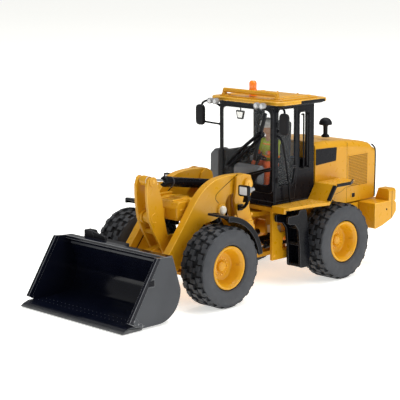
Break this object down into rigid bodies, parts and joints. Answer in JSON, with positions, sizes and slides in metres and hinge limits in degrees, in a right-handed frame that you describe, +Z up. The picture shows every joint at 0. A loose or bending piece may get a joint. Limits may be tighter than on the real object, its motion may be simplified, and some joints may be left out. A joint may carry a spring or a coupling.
{
  "type": "toy wheel loader",
  "caption": "Die-cast toy front loader with articulated frame, lifting arms, tilting bucket, rolling wheels and a glazed cab with a seated operator.",
  "frame": {"origin": "centre of the bounding box on the ground plane", "axes": "-Y forward over the bucket, +Y to the counterweight, +X to the loader's left side, +Z up"},
  "size_m": [0.0542, 0.144, 0.0725],
  "materials": {
    "yellow_paint": "gloss",
    "tyre_rubber": "matte",
    "black_paint": "satin",
    "black_plastic": "satin",
    "dark_grey_paint": "satin",
    "chrome": "polished",
    "clear_glazing": "clear",
    "orange_lens": "gloss",
    "operator_paint": "matte"
  },
  "bodies": {
    "rear_frame": {"rear_chassis": "yellow_paint", "articulation_pin": "chrome", "drive_shaft": "black_paint", "counterweight": "yellow_paint", "hood": "yellow_paint", "side_grille_left": "black_plastic", "side_grille_right": "black_plastic", "precleaner": "black_plastic", "platform_left": "yellow_paint", "platform_right": "yellow_paint", "ladder_left": "black_plastic", "ladder_right": "black_plastic", "cab_frame": "dark_grey_paint", "windscreen": "clear_glazing", "rear_glass": "clear_glazing", "door_glass_left": "clear_glazing", "side_glass_right": "clear_glazing", "roof": "yellow_paint", "guard_bar": "yellow_paint", "beacon": "orange_lens", "work_lights_left": "black_plastic", "work_lights_right": "black_plastic", "mirror_left": "black_plastic", "mirror_right": "black_plastic", "handrail_left": "black_plastic", "side_cover_right": "black_plastic", "wiper": "black_plastic", "seat": "black_plastic", "console": "black_plastic", "operator": "operator_paint"},
    "front_frame": {"front_chassis": "yellow_paint", "front_axle": "yellow_paint", "front_fender_left": "black_plastic", "front_fender_right": "black_plastic", "headlight_left": "black_plastic", "headlight_right": "black_plastic"},
    "lift_arms": {"lift_arms": "yellow_paint"},
    "bucket": {"bucket_shell": "black_paint", "cutting_edge": "black_paint"},
    "tilt_lever": {"tilt_lever": "yellow_paint"},
    "tilt_link": {"tilt_link": "yellow_paint"},
    "tilt_rod": {"tilt_rod": "chrome"},
    "tilt_barrel": {"tilt_barrel": "black_paint"},
    "rear_axle": {"rear_axle": "yellow_paint"},
    "lift_left_rod": {"lift_left_rod": "chrome"},
    "lift_left_barrel": {"lift_left_barrel": "black_paint"},
    "steering_left_rod": {"steering_left_rod": "chrome"},
    "steering_left_barrel": {"steering_left_barrel": "black_paint"},
    "wheel_front_left": {"tyre_front_left": "tyre_rubber", "rim_front_left": "yellow_paint"},
    "wheel_rear_left": {"tyre_rear_left": "tyre_rubber", "rim_rear_left": "yellow_paint"},
    "lift_right_rod": {"lift_right_rod": "chrome"},
    "lift_right_barrel": {"lift_right_barrel": "black_paint"},
    "steering_right_rod": {"steering_right_rod": "chrome"},
    "steering_right_barrel": {"steering_right_barrel": "black_paint"},
    "wheel_front_right": {"tyre_front_right": "tyre_rubber", "rim_front_right": "yellow_paint"},
    "wheel_rear_right": {"tyre_rear_right": "tyre_rubber", "rim_rear_right": "yellow_paint"}
  },
  "joints": [
    {"name": "steer", "type": "hinge", "parent": "rear_frame", "child": "front_frame", "pos_m": [0, 0.006, 0.014], "axis": [0, 0, 1], "range_deg": [-30, 30]},
    {"name": "arm_lift", "type": "hinge", "parent": "front_frame", "child": "lift_arms", "pos_m": [0, -0.00135, 0.0384], "axis": [-1, 0, 0], "range_deg": [0, 75]},
    {"name": "bucket_tilt", "type": "hinge", "parent": "lift_arms", "child": "bucket", "pos_m": [0, -0.043, 0.0082], "axis": [-1, 0, 0], "range_deg": [-45, 34]},
    {"name": "lever_tilt", "type": "hinge", "parent": "lift_arms", "child": "tilt_lever", "pos_m": [0, -0.0368, 0.0298], "axis": [-1, 0, 0], "range_deg": [-22, 26]},
    {"name": "link_tilt", "type": "hinge", "parent": "tilt_lever", "child": "tilt_link", "pos_m": [0, -0.031, 0.0178], "axis": [-1, 0, 0], "range_deg": [-25, 21]},
    {"name": "tilt_rod_turn", "type": "hinge", "parent": "tilt_lever", "child": "tilt_rod", "pos_m": [0, -0.0376, 0.0424], "axis": [-1, 0, 0], "range_deg": [-25, 21]},
    {"name": "tilt_barrel_slide", "type": "slide", "parent": "tilt_rod", "child": "tilt_barrel", "axis": [0, 0.9879, -0.1548], "range_m": [-0.0056, 0.0047]},
    {"name": "lift_left_rod_turn", "type": "hinge", "parent": "lift_arms", "child": "lift_left_rod", "pos_m": [0.0052, -0.0128, 0.0305], "axis": [-1, 0, 0], "range_deg": [-60, 1]},
    {"name": "lift_left_barrel_slide", "type": "slide", "parent": "lift_left_rod", "child": "lift_left_barrel", "axis": [0, 0.5442, -0.839], "range_m": [-0.0002, 0.0153]},
    {"name": "steering_left_rod_turn", "type": "hinge", "parent": "front_frame", "child": "steering_left_rod", "pos_m": [0.0086, 0.0046, 0.014], "axis": [0, 0, 1], "range_deg": [-30, 30]},
    {"name": "steering_left_barrel_slide", "type": "slide", "parent": "steering_left_rod", "child": "steering_left_barrel", "axis": [0, 1, 0], "range_m": [-0.0046, 0.0046]},
    {"name": "lift_right_rod_turn", "type": "hinge", "parent": "lift_arms", "child": "lift_right_rod", "pos_m": [-0.0052, -0.0128, 0.0305], "axis": [-1, 0, 0], "range_deg": [-60, 1]},
    {"name": "lift_right_barrel_slide", "type": "slide", "parent": "lift_right_rod", "child": "lift_right_barrel", "axis": [0, 0.5442, -0.839], "range_m": [-0.0002, 0.0153]},
    {"name": "steering_right_rod_turn", "type": "hinge", "parent": "front_frame", "child": "steering_right_rod", "pos_m": [-0.0086, 0.0046, 0.014], "axis": [0, 0, 1], "range_deg": [-30, 30]},
    {"name": "steering_right_barrel_slide", "type": "slide", "parent": "steering_right_rod", "child": "steering_right_barrel", "axis": [0, 1, 0], "range_m": [-0.0046, 0.0046]},
    {"name": "rear_axle_swing", "type": "hinge", "parent": "rear_frame", "child": "rear_axle", "pos_m": [0, 0.036, 0.014], "axis": [0, 1, 0], "range_deg": [-4, 4]},
    {"name": "wheel_front_left_spin", "type": "hinge", "parent": "front_frame", "child": "wheel_front_left", "pos_m": [0.02153, -0.024, 0.014], "axis": [1, 0, 0], "continuous": true},
    {"name": "wheel_front_right_spin", "type": "hinge", "parent": "front_frame", "child": "wheel_front_right", "pos_m": [-0.02153, -0.024, 0.014], "axis": [1, 0, 0], "continuous": true},
    {"name": "wheel_rear_left_spin", "type": "hinge", "parent": "rear_axle", "child": "wheel_rear_left", "pos_m": [0.02153, 0.036, 0.014], "axis": [1, 0, 0], "continuous": true},
    {"name": "wheel_rear_right_spin", "type": "hinge", "parent": "rear_axle", "child": "wheel_rear_right", "pos_m": [-0.02153, 0.036, 0.014], "axis": [1, 0, 0], "continuous": true}
  ],
  "couplings": [
    {"joint": "lever_tilt", "follows": "bucket_tilt", "ratio": -0.5501},
    {"joint": "link_tilt", "follows": "bucket_tilt", "ratio": 0.5392},
    {"joint": "tilt_rod_turn", "follows": "bucket_tilt", "ratio": 0.5235},
    {"joint": "tilt_barrel_slide", "follows": "bucket_tilt", "m_per_rad": 0.00679},
    {"joint": "lift_left_rod_turn", "follows": "arm_lift", "ratio": -0.7933},
    {"joint": "lift_left_barrel_slide", "follows": "arm_lift", "m_per_rad": 0.011517},
    {"joint": "steering_left_rod_turn", "follows": "steer", "ratio": -0.9499},
    {"joint": "steering_left_barrel_slide", "follows": "steer", "m_per_rad": -0.008396},
    {"joint": "lift_right_rod_turn", "follows": "arm_lift", "ratio": -0.7933},
    {"joint": "lift_right_barrel_slide", "follows": "arm_lift", "m_per_rad": 0.011517},
    {"joint": "steering_right_rod_turn", "follows": "steer", "ratio": -0.9499},
    {"joint": "steering_right_barrel_slide", "follows": "steer", "m_per_rad": 0.008396}
  ]
}
